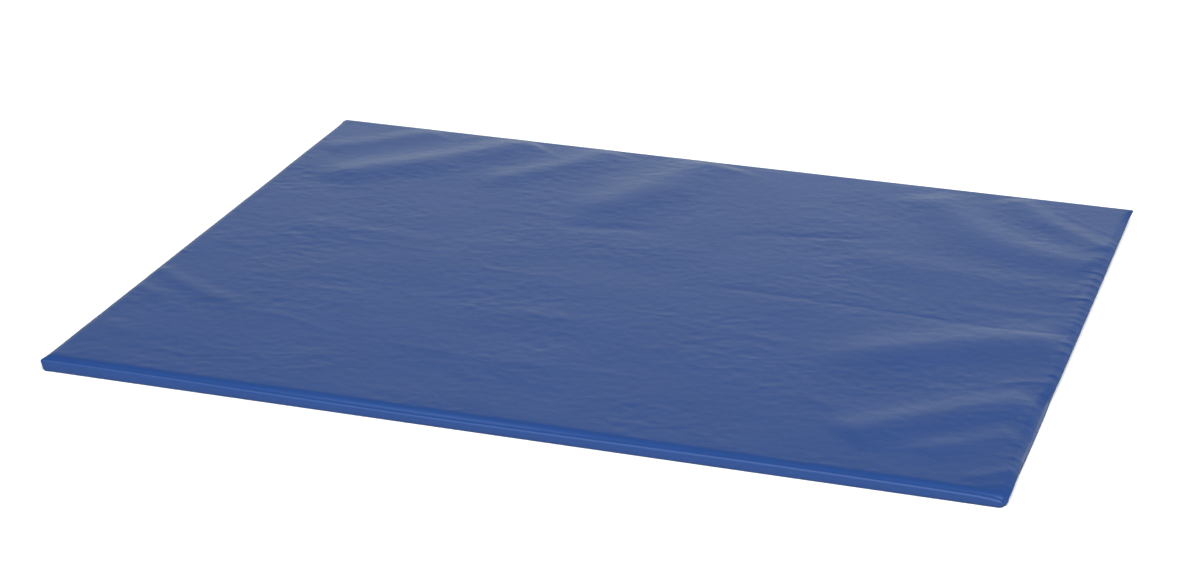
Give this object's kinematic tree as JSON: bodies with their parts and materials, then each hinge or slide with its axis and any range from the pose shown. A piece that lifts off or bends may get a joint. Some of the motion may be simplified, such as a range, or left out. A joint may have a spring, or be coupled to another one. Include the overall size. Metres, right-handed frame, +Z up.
{
  "type": "folding gym mat",
  "caption": "Thin rectangular foam exercise mat in a smooth vinyl cover, which folds in half along its long centre line.",
  "frame": {"origin": "middle of the underside of the open mat, on the floor and on the fold line", "axes": "+X along the fold line (the long side), +Y across the panels towards the rear one, +Z up"},
  "size_m": [1.524, 1.2192, 0.0254],
  "materials": {
    "vinyl": "satin",
    "foam": "matte",
    "zip_tape": "matte",
    "zip_coil": "satin",
    "zip_metal": "satin"
  },
  "bodies": {
    "front_panel": {"front_cover": "vinyl", "front_left_end_strip": "vinyl", "front_right_end_strip": "vinyl", "front_fold_wall": "vinyl", "front_foam": "foam", "front_zip_tape_upper": "zip_tape", "front_zip_tape_lower": "zip_tape", "front_zip_coil_upper": "zip_coil", "front_zip_coil_lower": "zip_coil", "front_zip_inner_stop": "zip_metal", "front_zip_outer_stop": "zip_metal"},
    "rear_panel": {"rear_cover": "vinyl", "rear_left_end_strip": "vinyl", "rear_right_end_strip": "vinyl", "rear_fold_wall": "vinyl", "rear_foam": "foam", "rear_zip_tape_upper": "zip_tape", "rear_zip_tape_lower": "zip_tape", "rear_zip_coil_upper": "zip_coil", "rear_zip_coil_lower": "zip_coil", "rear_zip_inner_stop": "zip_metal", "rear_zip_outer_stop": "zip_metal"},
    "front_slider": {"front_zip_slider": "zip_metal"},
    "front_pull": {"front_zip_pull": "zip_metal"},
    "rear_slider": {"rear_zip_slider": "zip_metal"},
    "rear_pull": {"rear_zip_pull": "zip_metal"}
  },
  "joints": [
    {"name": "fold", "type": "hinge", "parent": "front_panel", "child": "rear_panel", "pos_m": [0, 0, 0.0257], "axis": [1, 0, 0], "range_deg": [0, 180]},
    {"name": "front_zip_slide", "type": "slide", "parent": "front_panel", "child": "front_slider", "axis": [0, 1, 0], "range_m": [0, 0.523]},
    {"name": "front_pull_hinge", "type": "hinge", "parent": "front_slider", "child": "front_pull", "pos_m": [-0.7594, -0.5665, 0.0096], "axis": [0, 0, 1], "range_deg": [0, 180]},
    {"name": "rear_zip_slide", "type": "slide", "parent": "rear_panel", "child": "rear_slider", "axis": [0, -1, 0], "range_m": [0, 0.523]},
    {"name": "rear_pull_hinge", "type": "hinge", "parent": "rear_slider", "child": "rear_pull", "pos_m": [-0.7594, 0.5665, 0.0096], "axis": [0, 0, -1], "range_deg": [0, 180]}
  ]
}
